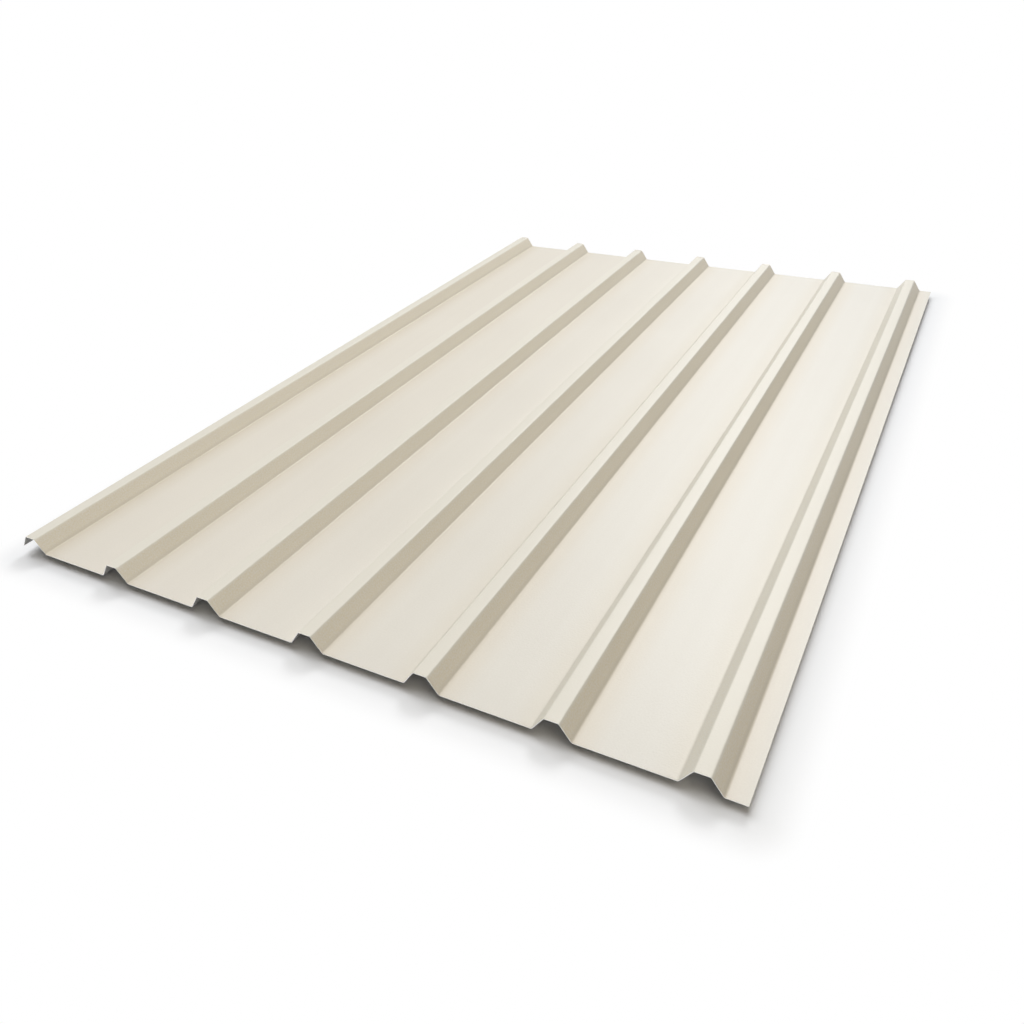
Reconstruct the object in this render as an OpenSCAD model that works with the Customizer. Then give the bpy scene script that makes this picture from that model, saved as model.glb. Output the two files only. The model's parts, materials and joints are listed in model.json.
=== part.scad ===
/* [Sheet] */
// Width that one laid sheet covers, from the first rib's centre to the last rib's
cover_w = 1000; // [800:10:1100]
// Number of pans, the flats between neighbouring ribs
pans = 6; // [4:1:8]
// Length of the sheet along its ribs
sheet_l = 1600; // [600:50:6000]
// Thickness of the coated steel
gauge = 0.7; // [0.4:0.1:1.2]

/* [Ribs] */
// Height of a rib's crown above the pans
rib_h = 22; // [18:0.5:30]
// Width of a rib's crown, between the corners of its flanks
crown_w = 18; // [16:0.5:40]
// Distance across the sheet that each flank of a rib leans over
flank_run = 15; // [10:0.5:25]
// Radius inside the bends along a crown
crown_bend_r = 2; // [1:0.5:5]
// Radius inside the bends along a rib's feet
foot_bend_r = 4; // [1:0.5:8]

/* [Side laps] */
// Height above the pans at which the first rib's outer flank stops
lip_clear = 3; // [1:0.5:8]
// Width of the flat flange beyond the last rib's foot
flange_w = 25; // [12:1:60]

/* [Hidden] */

// Flats that round each bend
bend_steps = 8;
half_gauge = gauge / 2;
rib_pitch = cover_w / pans;
half_crown = crown_w / 2;
half_foot = half_crown + flank_run;
flank_angle = atan2(rib_h, flank_run);

// The strip's middle line: x runs across the sheet from the first rib's centre,
// and y is the height above the middle of the pans' thickness.
rib_corners = [
    [-half_foot, 0],
    [-half_crown, rib_h],
    [half_crown, rib_h],
    [half_foot, 0]
];
lip_end = [-half_foot + lip_clear / tan(flank_angle), lip_clear];
flange_end = [cover_w + half_foot + flange_w, 0];

// The first rib has no left foot: its outer flank ends at the lip instead
strip_line = [
    lip_end,
    for (rib = [0:pans], corner = [0:len(rib_corners) - 1])
        if (rib + corner > 0)
            [rib * rib_pitch, 0] + rib_corners[corner],
    flange_end
];
last_corner = len(strip_line) - 2;

// Middle of the sheet's width, from the lip's outer arris to the flange's edge
lip_x = lip_end.x - half_gauge * sin(flank_angle);
middle_x = (lip_x + flange_end.x) / 2;

function heading(from, to) = atan2(to.y - from.y, to.x - from.x);

function left_of(angle) = [-sin(angle), cos(angle)];

// Radius of the middle line in the bend at a corner: crowns lie above the pans
function middle_r(corner) = half_gauge + (corner.y > 0 ? crown_bend_r : foot_bend_r);

// Points round the bend at one corner, on the line that lies off to the left of the middle line.
// Every such line turns about the same centre, so the strip keeps its thickness.
function bend(before, corner, after, off) =
    let (
        start_angle = heading(before, corner),
        turn = heading(corner, after) - start_angle,
        signed_r = sign(turn) * middle_r(corner),
        tangent_l = abs(signed_r * tan(turn / 2)),
        start = corner - tangent_l * [cos(start_angle), sin(start_angle)],
        centre = start + signed_r * left_of(start_angle)
    )
    [
        for (step = [0:bend_steps])
            centre + (off - signed_r) * left_of(start_angle + turn * step / bend_steps)
    ];

// One face of the strip in section, from the lip to the flange
function face_line(off) = [
    lip_end + off * left_of(flank_angle),
    for (i = [1:last_corner])
        each bend(strip_line[i - 1], strip_line[i], strip_line[i + 1], off),
    flange_end + off * left_of(0)
];

function reversed(points) = [for (i = [len(points) - 1:-1:0]) points[i]];

module section() {
    translate([-middle_x, half_gauge])
        polygon(concat(face_line(half_gauge), reversed(face_line(-half_gauge))));
}

module profiled_sheet() {
    color("#e6dfd1")
        rotate([90, 0, 0])
            linear_extrude(height = sheet_l, center = true)
                section();
}

profiled_sheet();
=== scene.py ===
"""A coated steel sheet, cold-rolled into ribs and flat pans, on a plain pale floor.

The sheet is one strip carried along its length: a section of flats and round bends, with a cream
coat on its face, a grey backing coat underneath and bright cut steel along its four edges.
Lengths are in metres. +X runs across the ribs, +Y along them and +Z up.
"""
import json
import math

import bpy
import numpy as np
from mathutils import Matrix, Vector


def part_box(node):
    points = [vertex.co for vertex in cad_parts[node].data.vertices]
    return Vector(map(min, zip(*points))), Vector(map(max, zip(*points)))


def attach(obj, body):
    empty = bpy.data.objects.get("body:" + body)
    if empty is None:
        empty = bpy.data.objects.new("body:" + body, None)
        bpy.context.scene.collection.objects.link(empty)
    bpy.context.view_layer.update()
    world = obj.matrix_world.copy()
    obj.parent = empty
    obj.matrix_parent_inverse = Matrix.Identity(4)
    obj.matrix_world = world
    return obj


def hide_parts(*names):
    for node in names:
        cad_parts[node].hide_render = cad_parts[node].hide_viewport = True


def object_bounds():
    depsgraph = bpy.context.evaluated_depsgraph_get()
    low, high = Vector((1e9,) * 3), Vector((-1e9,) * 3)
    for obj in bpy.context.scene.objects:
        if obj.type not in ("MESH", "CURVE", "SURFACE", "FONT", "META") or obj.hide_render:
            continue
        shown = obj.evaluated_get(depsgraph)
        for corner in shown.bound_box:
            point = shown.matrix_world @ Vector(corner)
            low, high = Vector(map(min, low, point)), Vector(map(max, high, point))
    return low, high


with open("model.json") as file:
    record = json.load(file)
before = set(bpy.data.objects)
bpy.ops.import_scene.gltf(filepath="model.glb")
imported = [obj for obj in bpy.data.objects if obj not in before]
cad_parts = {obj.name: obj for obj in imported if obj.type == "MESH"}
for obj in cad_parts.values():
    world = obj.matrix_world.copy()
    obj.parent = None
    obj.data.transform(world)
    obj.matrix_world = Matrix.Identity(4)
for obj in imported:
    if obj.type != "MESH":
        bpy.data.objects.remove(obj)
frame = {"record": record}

cad_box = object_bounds()
MM = 0.001

# The sheet's section
RIB_COUNT = 7
GAUGE = 0.7 * MM
CROWN_W = 18 * MM
FLANK_RUN = 15 * MM
CROWN_BEND_R = 2 * MM
FOOT_BEND_R = 4 * MM
LIP_CLEAR = 3 * MM
HALF_GAUGE = GAUGE / 2
HALF_CROWN = CROWN_W / 2
HALF_FOOT = HALF_CROWN + FLANK_RUN

# How finely the sheet is divided
BEND_STEPS = 7
FLAT_STEP = 9 * MM
LENGTH_ROWS = 101
SHARP_ANGLE = math.radians(40)

# The pans' slight waviness, left by the rollers: wave length, lag from pan to pan, share of the height
WAVE_HEIGHT = 0.18 * MM
PAN_WAVES = ((0.53, 2.3, 0.5), (0.29, 4.1, 0.3), (0.83, 1.2, 0.4))

# The cream coat: its tone runs from dark to pale, and towards the flange a painted sheen makes it cooler.
# The crowns are paler, the flanks have a warm painted shade and the feet a painted shade, darkest in the
# crease: how much of each, and how far it goes
COAT_DARK = (0.677, 0.631, 0.546, 1.0)
COAT_PALE = (0.736, 0.694, 0.612, 1.0)
# Painted sheen: the dark and pale ends of the coat's tone towards the flange
SHEEN_DARK = (0.671, 0.645, 0.580, 1.0)
SHEEN_PALE = (0.728, 0.709, 0.649, 1.0)
# The crowns' paler colour
CROWN_COAT = (0.728, 0.697, 0.604, 1.0)
# Painted shade: the warm colour on the flanks, and the darker colour along the feet
FLANK_SHADE = (0.620, 0.480, 0.120, 1.0)
FOOT_SHADE = (0.450, 0.380, 0.250, 1.0)
CROWN_SHARE = 0.8
CROWN_REACH = 4 * MM
FLANK_SHADE_SHARE = 0.13
FLANK_SHADE_GRAIN = 3.5
LEFT_FLANK_SHADE = 0.7
FOOT_SHADE_SHARE = 0.13
LIP_SHADE = 1.3
FLANGE_SIDE_SHADE = 1.6
RIB_SIDE_REACH = 40 * MM
FOOT_SHADE_RISE = 7 * MM
# Painted shade in the crease at each rib's right foot
CREASE_SHADE_SHARE = 0.20
CREASE_SHADE_REACH = 7 * MM
COAT_ROUGHNESS = 0.46
COAT_GLOSS = 0.9
PAINT_IOR = 1.5

# Marks in the coat: how many to the metre, and how much they move the tone, roughness and relief
CLOUDS, CLOUD_TONE, CLOUD_ROUGH = 5.0, 0.5, 0.06
STREAKS, STREAKS_ALONG, STREAK_TONE = 90.0, 1.2, 0.2
GRAINS, GRAIN_TONE, GRAIN_ROUGH, GRAIN_RELIEF = 420.0, 0.7, 0.10, 0.7
PEEL, PEEL_RELIEF = 160.0, 0.3
RELIEF_HEIGHT = 0.19 * MM

# The grey backing coat
BACKING_DARK = (0.455, 0.455, 0.445, 1.0)
BACKING_PALE = (0.525, 0.523, 0.510, 1.0)
BACKING_ROUGHNESS = 0.50
BACKING_CLOUDS, BACKING_CLOUD_TONE, BACKING_CLOUD_ROUGH = 12.0, 0.7, 0.12
BACKING_STREAKS, BACKING_STREAKS_ALONG, BACKING_STREAK_TONE = 140.0, 1.5, 0.9

# The sheared edge, bright where the blade went through
STEEL_DARK = (0.800, 0.798, 0.785, 1.0)
STEEL_PALE = (0.930, 0.926, 0.910, 1.0)
STEEL_ROUGHNESS = 0.45
BLADE_MARKS, BLADE_ROUGH = 1500.0, 0.14

# The sheet's finishes, by the number of their material slot
COAT_SLOT, BACKING_SLOT, STEEL_SLOT = 0, 1, 2

# Middle of a noise's range and of a blend, and how finely the noises are broken up
MIDDLE = 0.5
NOISE_DETAIL = 2.0
GRAIN_DETAIL = 1.0

# The map of the flat strip, and the colour inputs of the Mix node, whose names aren't unique
STRIP_MAP = "strip"
MIX_FACTOR, MIX_FIRST, MIX_SECOND = 0, 6, 7

# The camera, as it stood over the real sheet
IMAGE_PIXELS = 1024
FOCAL_PIXELS = 888.9
VIEW_AZIMUTH = math.radians(28.67)
VIEW_ELEVATION = math.radians(33.08)
VIEW_ROLL = math.radians(-2.49)
VIEW_TARGET = Vector((0.0769, -0.4220, 0.0))
VIEW_DISTANCE = 1.3397
SENSOR_W = 36.0

# The floor lies a little under the sheet, and turns plain white away from its outline. It throws back
# light as a pale grey. To the eye its colour makes up for the warm front lamp, so that it is neutral
FLOOR_DROP = 13 * MM
FLOOR_SIZE = 60.0
FLOOR_BOUNCE = (0.88, 0.88, 0.88, 1.0)
FLOOR_SEEN = (0.990, 1.007, 1.033, 1.0)
FLOOR_FADE_START = 8 * MM
FLOOR_FADE_END = 60 * MM

# The studio: an even fill, and square softboxes that all face the middle of the sheet
FILL_STRENGTH = 0.02
NEUTRAL = (1.0, 1.0, 1.0)
WARM = (1.0, 0.890, 0.720)
SOFTBOXES = (
    # name, place, size, power, colour
    ("back_softbox", (0.0, 2.2, 2.6), 1.5, 46.9, NEUTRAL),
    ("low_back_softbox", (0.0, 2.8, 1.3), 1.2, 5.4, NEUTRAL),
    ("left_softbox", (-1.3, 0.0, 2.7), 1.5, 23.6, NEUTRAL),
    ("low_left_softbox", (-2.3, -0.4, 2.0), 1.5, 9.8, NEUTRAL),
    ("top_softbox", (0.3, -0.9, 2.8), 1.5, 25.8, NEUTRAL),
    ("front_softbox", (1.5, -1.8, 2.2), 1.5, 14.4, WARM),
)

WHITE = (1.0, 1.0, 1.0, 1.0)


class Wire:
    """A shader socket that can be written into sums: each operator adds one Math node."""

    def __init__(self, nodes, socket):
        self.nodes = nodes
        self.socket = socket

    def math(self, operation, first, second):
        return self.nodes.add("ShaderNodeMath", {"operation": operation}, {0: first, 1: second})["Value"]

    def __add__(self, other):
        return self.math("ADD", self, other)

    def __radd__(self, other):
        return self.math("ADD", other, self)

    def __sub__(self, other):
        return self.math("SUBTRACT", self, other)

    def __rsub__(self, other):
        return self.math("SUBTRACT", other, self)

    def __mul__(self, other):
        return self.math("MULTIPLY", self, other)

    def __rmul__(self, other):
        return self.math("MULTIPLY", other, self)

    def __or__(self, other):
        return self.math("MAXIMUM", self, other)


class Nodes:
    """The nodes of one material, or of the world."""

    def __init__(self, owner):
        owner.use_nodes = True
        self.owner = owner
        self.tree = owner.node_tree
        self.tree.nodes.clear()

    def add(self, kind, settings=None, values=None):
        """Adds any node: its settings first, then a value or a Wire for each of its inputs.

        The node's outputs come back as Wires, by name."""
        node = self.tree.nodes.new(kind)
        for name, setting in (settings or {}).items():
            setattr(node, name, setting)
        for key, value in (values or {}).items():
            if isinstance(value, Wire):
                self.tree.links.new(value.socket, node.inputs[key])
            else:
                node.inputs[key].default_value = value
        return {out.name: Wire(self, out) for out in node.outputs if out.enabled}

    def vector(self, operation, first, second=(0.0, 0.0, 0.0)):
        """One step of vector maths."""
        return self.add("ShaderNodeVectorMath", {"operation": operation}, {0: first, 1: second})["Vector"]

    def noise(self, place, scale, detail=NOISE_DETAIL):
        """Cloudy noise over the flat strip, as much above zero as below it."""
        values = {"Vector": place, "Scale": scale, "Detail": detail}
        return self.add("ShaderNodeTexNoise", {"noise_dimensions": "2D"}, values)["Fac"] - MIDDLE

    def streaks(self, place, across, along):
        """Noise drawn out along the strip: so many to the metre across it, and along it."""
        return self.noise(self.vector("MULTIPLY", place, (across, along, 1.0)), 1.0)

    def rise(self, value, start, end):
        """0 up to the start, 1 from the end on, and a soft rise between."""
        values = {"Value": value, "From Min": start, "From Max": end}
        return self.add("ShaderNodeMapRange", {"interpolation_type": "SMOOTHSTEP"}, values)["Result"]

    def blend(self, factor, first, second):
        """A colour between two others."""
        values = {MIX_FACTOR: factor, MIX_FIRST: first, MIX_SECOND: second}
        return self.add("ShaderNodeMix", {"data_type": "RGBA"}, values)["Result"]

    def strip_place(self):
        """Each point's place on the flat strip, in metres."""
        return self.add("ShaderNodeUVMap", {"uv_map": STRIP_MAP})["UV"]

    def rays_that_show(self):
        """1 for the rays that show a surface to the eye, straight, by reflection or through glass."""
        path = self.add("ShaderNodeLightPath")
        return path["Is Camera Ray"] | path["Is Glossy Ray"] | path["Is Transmission Ray"]

    def paint(self, values):
        """Ends a material in one plain surface shader, and gives the material."""
        shader = self.add("ShaderNodeBsdfPrincipled", values=values)["BSDF"]
        self.add("ShaderNodeOutputMaterial", values={"Surface": shader})
        return self.owner


def left_of(angle):
    """Unit vectors a quarter turn to the left of headings, in the section's plane."""
    return np.stack([-np.sin(angle), np.cos(angle)], axis=-1)


def strip_corners(rib_h, rib_xs, flange_x):
    """The sharp corners of the strip's middle line, from the lip to the flange, and each bend's radius.

    Every rib has two feet and two crown corners, but the first has no outer foot: its outer flank
    stops at the lip, a little above the pans."""
    rib = np.array([[-HALF_FOOT, 0], [-HALF_CROWN, rib_h], [HALF_CROWN, rib_h], [HALF_FOOT, 0]])
    shift = np.stack([rib_xs, np.zeros_like(rib_xs)], axis=-1)
    corners = (shift[:, None] + rib).reshape(-1, 2)[1:]
    lip = [rib_xs[0] - HALF_FOOT + LIP_CLEAR * FLANK_RUN / rib_h, LIP_CLEAR]
    corners = np.concatenate([[lip], corners, [[flange_x, 0]]])
    radii = HALF_GAUGE + np.where(corners[1:-1, 1] > 0, CROWN_BEND_R, FOOT_BEND_R)
    return corners, radii


def strip_section(corners, radii):
    """The middle line as a row of points, with the heading at each.

    A bend at a corner starts r tan(turn / 2) before it and turns about a centre that lies r to
    the side of both flats, so the line runs smoothly from flat to flat. The flats between are
    divided evenly."""
    step = np.diff(corners, axis=0)
    heading = np.arctan2(step[:, 1], step[:, 0])
    turn = np.diff(heading)
    signed_r = np.sign(turn) * radii
    tangent = np.abs(signed_r * np.tan(turn / 2))
    ahead = np.stack([np.cos(heading), np.sin(heading)], axis=-1)
    start = corners[1:-1] - tangent[:, None] * ahead[:-1]
    centre = start + signed_r[:, None] * left_of(heading[:-1])
    angle = heading[:-1, None] + turn[:, None] * np.linspace(0, 1, BEND_STEPS + 1)
    arcs = centre[:, None] - signed_r[:, None, None] * left_of(angle)

    flat_from = np.concatenate([corners[:1], arcs[:, -1]])
    flat_to = np.concatenate([arcs[:, 0], corners[-1:]])
    points, angles = [], []
    for i, (a, b) in enumerate(zip(flat_from, flat_to)):
        parts = max(1, round(np.linalg.norm(b - a) / FLAT_STEP))
        share = np.linspace(0, 1, parts + 1)
        share = share[(share > 0) | (i == 0)]
        share = share[(share < 1) | (i == len(arcs))]
        points.append(a + share[:, None] * (b - a))
        angles.append(np.full(len(share), heading[i]))
        if i < len(arcs):
            points.append(arcs[i])
            angles.append(angle[i])
    return np.concatenate(points), np.concatenate(angles)


def pan_waves(x, z, y, rib_xs):
    """Height of the pans' waviness: long slow ripples that die out at the ribs' feet.

    Across a pan the height follows a squared sine between its feet. Along it, sines of unlike
    lengths are added, with a lag that differs from pan to pan."""
    pitch = rib_xs[1] - rib_xs[0]
    place = (x - rib_xs[0]) / pitch
    pan = np.floor(place)
    across = ((place - pan) * pitch - HALF_FOOT) / (pitch - 2 * HALF_FOOT)
    on_pan = (across > 0) & (across < 1) & (z < HALF_GAUGE) & (pan >= 0) & (pan < RIB_COUNT - 1)
    swell = np.where(on_pan, np.sin(np.pi * across) ** 2, 0)
    along = sum(
        share * np.sin(2 * np.pi * y[:, None] / wave + lag * (pan + 1))
        for wave, lag, share in PAN_WAVES
    )
    return WAVE_HEIGHT * swell * along


def quads(a, b, c, d):
    """Four-cornered faces from four arrays of corner numbers."""
    return np.stack([a, b, c, d], axis=-1).reshape(-1, 4)


def sheet_mesh(name, low, high, rib_xs):
    """The sheet as one closed surface: its section carried along the length.

    The face and the underside are grids of (distance along, distance across), half the gauge to
    either side of the middle line, and four rows of faces close the edges between them. The map
    called strip gives each point its place on the flat strip."""
    rib_h = high[2] - low[2] - GAUGE
    corners, radii = strip_corners(rib_h, rib_xs, high[0])
    line, angle = strip_section(corners, radii)
    travel = np.concatenate([[0], np.cumsum(np.linalg.norm(np.diff(line, axis=0), axis=1))])
    y = np.linspace(low[1], high[1], LENGTH_ROWS)
    rows, cols = len(y), len(line)

    waves = pan_waves(line[:, 0], line[:, 1], y, rib_xs)
    skins = []
    for off in (HALF_GAUGE, -HALF_GAUGE):
        edge = line + off * left_of(angle)
        skin = np.empty((rows, cols, 3))
        skin[..., 0] = edge[:, 0]
        skin[..., 1] = y[:, None]
        skin[..., 2] = low[2] + HALF_GAUGE + edge[:, 1] + waves
        skins.append(skin.reshape(-1, 3))
    verts = np.concatenate(skins)

    face = np.arange(rows * cols).reshape(rows, cols)
    under = face + rows * cols
    groups = [
        quads(face[:-1, :-1], face[:-1, 1:], face[1:, 1:], face[1:, :-1]),
        quads(under[:-1, :-1], under[1:, :-1], under[1:, 1:], under[:-1, 1:]),
        quads(under[0, :-1], under[0, 1:], face[0, 1:], face[0, :-1]),
        quads(face[-1, :-1], face[-1, 1:], under[-1, 1:], under[-1, :-1]),
        quads(face[:-1, 0], face[1:, 0], under[1:, 0], under[:-1, 0]),
        quads(under[:-1, -1], under[1:, -1], face[1:, -1], face[:-1, -1]),
    ]
    slots = [COAT_SLOT, BACKING_SLOT, STEEL_SLOT, STEEL_SLOT, STEEL_SLOT, STEEL_SLOT]
    finish = np.repeat(slots, [len(group) for group in groups])
    corner_ids = np.concatenate(groups)

    mesh = bpy.data.meshes.new(name)
    mesh.vertices.add(len(verts))
    mesh.vertices.foreach_set("co", verts.ravel())
    mesh.loops.add(corner_ids.size)
    mesh.loops.foreach_set("vertex_index", corner_ids.ravel())
    mesh.polygons.add(len(corner_ids))
    mesh.polygons.foreach_set("loop_start", corner_ids.shape[1] * np.arange(len(corner_ids)))
    mesh.polygons.foreach_set("material_index", finish)
    mesh.polygons.foreach_set("use_smooth", np.ones(len(corner_ids), bool))
    strip = np.stack(np.broadcast_arrays(travel, y[:, None]), axis=-1).reshape(-1, 2)
    strip = np.concatenate([strip, strip])
    mesh.uv_layers.new(name=STRIP_MAP).uv.foreach_set("vector", strip[corner_ids.ravel()].ravel())
    mesh.update(calc_edges=True)
    mesh.set_sharp_from_angle(angle=SHARP_ANGLE)
    return mesh


def coat_shade_and_sheen(nodes, grain, rib_xs):
    """How much painted sheen, crown paleness, flank shade and foot shade each point takes, as four
    shares.

    The painted sheen turns the coat a shade cooler from the lip to the flange, but not on the right
    side of each rib and the pan beside it, below the crown. The crowns are paler. The right side of
    each rib has a warm painted shade on its flank and a painted shade along its foot, darkest in the
    crease and heavier near the lip. The left side has less painted shade on its flank, and painted
    shade at its foot on the flange's half alone. The flange itself has none."""
    place = nodes.add("ShaderNodeTexCoord")["Object"]
    place = nodes.add("ShaderNodeSeparateXYZ", values={"Vector": place})
    x, z = place["X"], place["Z"]
    (lip_x, _, pan_under), (flange_x, _, crown_top) = cad_box
    pan_top = pan_under + GAUGE
    third_rib, fourth_rib, fifth_rib = rib_xs[2:5]
    last_foot = rib_xs[-1] + HALF_FOOT
    pitch = rib_xs[1] - rib_xs[0]
    after_rib = x - rib_xs[0]
    after_rib = after_rib.math("FLOORED_MODULO", after_rib, pitch)

    rib_right_side = 1.0 - nodes.rise(after_rib, HALF_FOOT, HALF_FOOT + RIB_SIDE_REACH)
    rib_left_side = 1.0 - nodes.rise(pitch - after_rib, HALF_FOOT, HALF_FOOT + RIB_SIDE_REACH)
    crease = 1.0 - nodes.rise(after_rib, HALF_FOOT, HALF_FOOT + CREASE_SHADE_REACH)
    above_pan = nodes.rise(z, pan_top, pan_top + FOOT_SHADE_RISE)
    near_lip = 1.0 - nodes.rise(x, lip_x, third_rib)
    flange_half = nodes.rise(x, fourth_rib, fifth_rib)
    off_flange = 1.0 - nodes.rise(x, last_foot, last_foot + FOOT_BEND_R)

    # The crowns, the top few millimetres of the sheet, are paler
    on_crown = nodes.rise(z, crown_top - CROWN_REACH, crown_top)
    # Painted sheen: the coat turns cooler towards the flange, but not on each rib's right side below its
    # crown
    painted_sheen = nodes.rise(x, lip_x, flange_x) * (1.0 - rib_right_side * (1.0 - on_crown))
    # Painted shade: a warm darker film on the flanks, less on each rib's left side, none on the crowns
    flank_shade = (rib_right_side + rib_left_side * LEFT_FLANK_SHADE) * (1.0 - on_crown) * above_pan
    flank_shade = flank_shade * FLANK_SHADE_SHARE * (1.0 - grain * FLANK_SHADE_GRAIN)
    # Painted shade along the ribs' feet, darkest in the crease and heavier near the lip; none on the
    # flange
    foot_shade = rib_right_side * (1.0 + near_lip * LIP_SHADE) + rib_left_side * flange_half * FLANGE_SIDE_SHADE
    foot_shade = foot_shade * FOOT_SHADE_SHARE + crease * CREASE_SHADE_SHARE
    foot_shade = foot_shade * (1.0 - above_pan) * off_flange
    return painted_sheen, on_crown * CROWN_SHARE, flank_shade, foot_shade


def cream_coat(rib_xs):
    """Satin cream coil coating, with painted sheen, paler crowns and painted shade over it.

    Its tone has faint clouds, lengthwise streaks of the coating rollers and a fine grain. The
    relief is the grain over a slight orange peel."""
    nodes = Nodes(bpy.data.materials.new("cream_coat"))
    place = nodes.strip_place()
    clouds = nodes.noise(place, CLOUDS)
    streaks = nodes.streaks(place, STREAKS, STREAKS_ALONG)
    grain = nodes.noise(place, GRAINS, GRAIN_DETAIL)
    peel = nodes.noise(place, PEEL, GRAIN_DETAIL)
    painted_sheen, on_crown, flank_shade, foot_shade = coat_shade_and_sheen(nodes, grain, rib_xs)

    tone = MIDDLE + clouds * CLOUD_TONE + streaks * STREAK_TONE + grain * GRAIN_TONE
    warm_coat = nodes.blend(tone, COAT_DARK, COAT_PALE)
    sheen_coat = nodes.blend(tone, SHEEN_DARK, SHEEN_PALE)
    # Over the coat's own tone: painted sheen towards the flange, paler crowns, painted shade on flanks
    # and feet
    colour = nodes.blend(painted_sheen, warm_coat, sheen_coat)
    colour = nodes.blend(on_crown, colour, CROWN_COAT)
    colour = nodes.blend(flank_shade, colour, FLANK_SHADE)
    colour = nodes.blend(foot_shade, colour, FOOT_SHADE)
    relief = grain * GRAIN_RELIEF + peel * PEEL_RELIEF
    bump = {"Strength": 1.0, "Distance": RELIEF_HEIGHT, "Height": relief}
    return nodes.paint({
        "Base Color": colour,
        "Roughness": COAT_ROUGHNESS + clouds * CLOUD_ROUGH + grain * GRAIN_ROUGH,
        "IOR": PAINT_IOR,
        "Specular IOR Level": COAT_GLOSS,
        "Normal": nodes.add("ShaderNodeBump", values=bump)["Normal"],
    })


def backing_coat():
    """Thin grey backing coat, a little uneven along the strip."""
    nodes = Nodes(bpy.data.materials.new("backing_coat"))
    place = nodes.strip_place()
    clouds = nodes.noise(place, BACKING_CLOUDS)
    streaks = nodes.streaks(place, BACKING_STREAKS, BACKING_STREAKS_ALONG)
    tone = MIDDLE + clouds * BACKING_CLOUD_TONE + streaks * BACKING_STREAK_TONE
    return nodes.paint({
        "Base Color": nodes.blend(tone, BACKING_DARK, BACKING_PALE),
        "Roughness": BACKING_ROUGHNESS + clouds * BACKING_CLOUD_ROUGH,
        "IOR": PAINT_IOR,
    })


def cut_steel():
    """Freshly sheared edge: bright steel with fine marks of the blade."""
    nodes = Nodes(bpy.data.materials.new("cut_steel"))
    marks = MIDDLE + nodes.noise(nodes.strip_place(), BLADE_MARKS)
    return nodes.paint({
        "Base Color": nodes.blend(marks, STEEL_DARK, STEEL_PALE),
        "Roughness": STEEL_ROUGHNESS + marks * BLADE_ROUGH,
        "Metallic": 1.0,
    })


def floor_paint(outline):
    """Plain white floor that keeps the shadow, and fades to even white away from the sheet.

    A place folded into one quarter, less the outline's half width and length and cut off at zero,
    is how far it lies outside the sheet."""
    nodes = Nodes(bpy.data.materials.new("floor_paint"))
    shown = nodes.rays_that_show()
    folded = nodes.vector("ABSOLUTE", nodes.add("ShaderNodeTexCoord")["Object"])
    outside = nodes.vector("MAXIMUM", nodes.vector("SUBTRACT", folded, outline))
    reach = nodes.add("ShaderNodeVectorMath", {"operation": "LENGTH"}, {0: outside})["Value"]
    fade = nodes.rise(reach, FLOOR_FADE_START, FLOOR_FADE_END)
    colour = nodes.blend(shown, FLOOR_BOUNCE, FLOOR_SEEN)
    matt = nodes.add("ShaderNodeBsdfDiffuse", values={"Color": colour})["BSDF"]
    white = nodes.add("ShaderNodeEmission", values={"Color": WHITE, "Strength": 1.0})["Emission"]
    both = nodes.add("ShaderNodeMixShader", values={0: fade * shown, 1: matt, 2: white})["Shader"]
    nodes.add("ShaderNodeOutputMaterial", values={"Surface": both})
    return nodes.owner


def make_floor():
    """One large square under the sheet."""
    half = FLOOR_SIZE / 2
    corners = [(-half, -half), (half, -half), (half, half), (-half, half)]
    mesh = bpy.data.meshes.new("floor")
    mesh.from_pydata([(x, y, -FLOOR_DROP) for x, y in corners], [], [(0, 1, 2, 3)])
    mesh.materials.append(floor_paint((*cad_box[1][:2], FLOOR_SIZE)))
    floor = bpy.data.objects.new("floor", mesh)
    bpy.context.collection.objects.link(floor)


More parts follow.
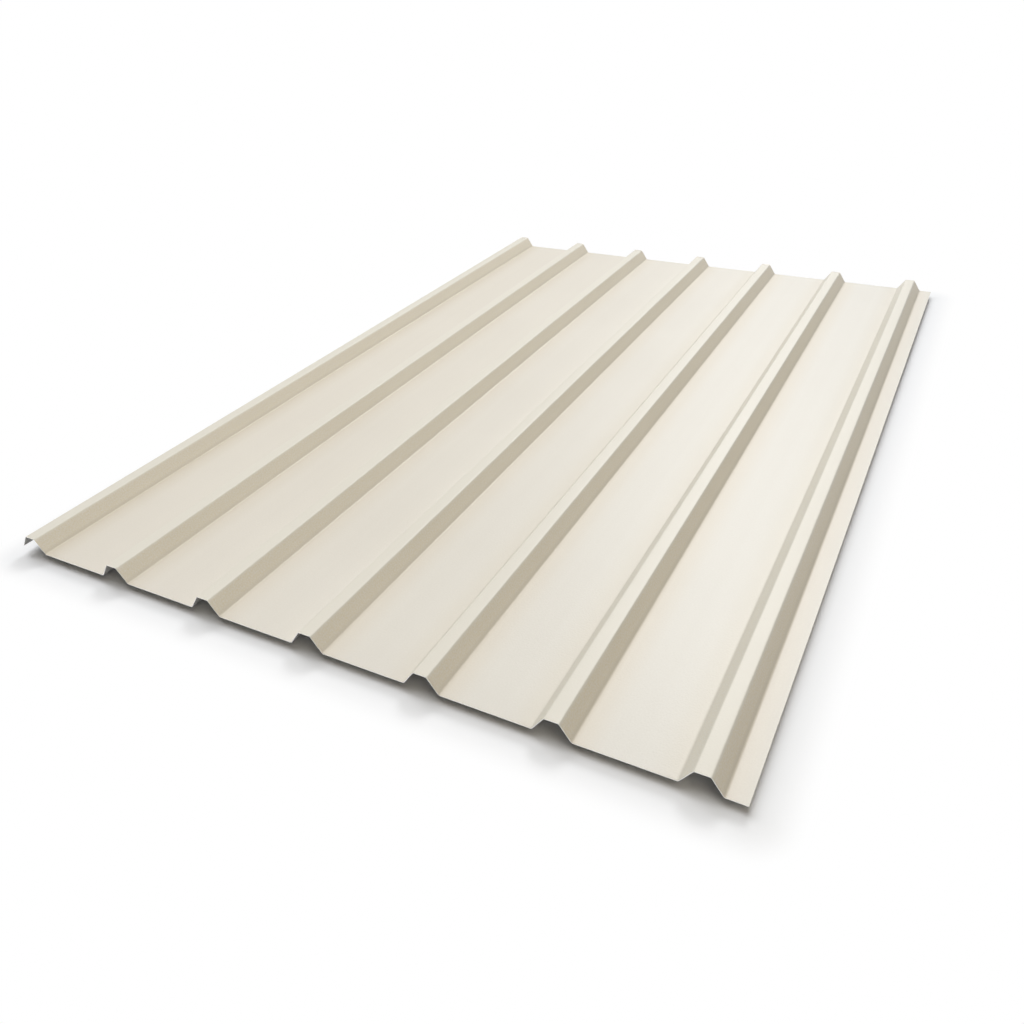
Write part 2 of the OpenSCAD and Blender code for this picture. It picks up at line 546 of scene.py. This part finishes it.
def make_sheet():
    """The dressed sheet, in place of the plain one."""
    low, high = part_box("profiled_sheet")
    mounts = {mount["name"]: mount["pos_m"] for mount in frame["record"]["mounts"]}
    rib_xs = np.linspace(mounts["side_lap_cover"][0], mounts["side_lap_seat"][0], RIB_COUNT)
    mesh = sheet_mesh("coated_sheet", low, high, rib_xs)
    for material in (cream_coat(rib_xs), backing_coat(), cut_steel()):
        mesh.materials.append(material)
    sheet = bpy.data.objects.new("coated_sheet", mesh)
    bpy.context.collection.objects.link(sheet)
    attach(sheet, "root")
    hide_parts("profiled_sheet")


def make_camera():
    """The camera on its arc round the target: azimuth from -Y towards +X, then elevation and roll."""
    back = Vector((
        math.sin(VIEW_AZIMUTH) * math.cos(VIEW_ELEVATION),
        -math.cos(VIEW_AZIMUTH) * math.cos(VIEW_ELEVATION),
        math.sin(VIEW_ELEVATION),
    ))
    level = Vector((math.cos(VIEW_AZIMUTH), math.sin(VIEW_AZIMUTH), 0.0))
    upright = back.cross(level)
    right = level * math.cos(VIEW_ROLL) + upright * math.sin(VIEW_ROLL)
    turn = Matrix((right, back.cross(right), back)).transposed().to_4x4()
    data = bpy.data.cameras.new("camera")
    data.sensor_width = SENSOR_W
    data.lens = SENSOR_W * FOCAL_PIXELS / IMAGE_PIXELS
    camera = bpy.data.objects.new("camera", data)
    camera.matrix_world = Matrix.Translation(VIEW_TARGET + back * VIEW_DISTANCE) @ turn
    bpy.context.collection.objects.link(camera)
    bpy.context.scene.camera = camera


def make_world():
    """White all round to the eye, and a plain even fill on the sheet."""
    world = bpy.data.worlds.new("studio")
    nodes = Nodes(world)
    fill = nodes.add("ShaderNodeBackground", values={"Color": WHITE, "Strength": FILL_STRENGTH})
    white = nodes.add("ShaderNodeBackground", values={"Color": WHITE, "Strength": 1.0})
    values = {0: nodes.rays_that_show(), 1: fill["Background"], 2: white["Background"]}
    both = nodes.add("ShaderNodeMixShader", values=values)["Shader"]
    nodes.add("ShaderNodeOutputWorld", values={"Surface": both})
    bpy.context.scene.world = world


def make_softbox(name, place, size, power, colour):
    """A square softbox that faces the middle of the sheet."""
    data = bpy.data.lights.new(name, "AREA")
    data.size = size
    data.energy = power
    data.color = colour
    lamp = bpy.data.objects.new(name, data)
    lamp.location = place
    lamp.rotation_euler = (-Vector(place)).to_track_quat("-Z", "Y").to_euler()
    bpy.context.collection.objects.link(lamp)


make_sheet()
make_floor()
make_camera()
make_world()
for softbox in SOFTBOXES:
    make_softbox(*softbox)
bpy.context.scene.view_settings.view_transform = "Standard"
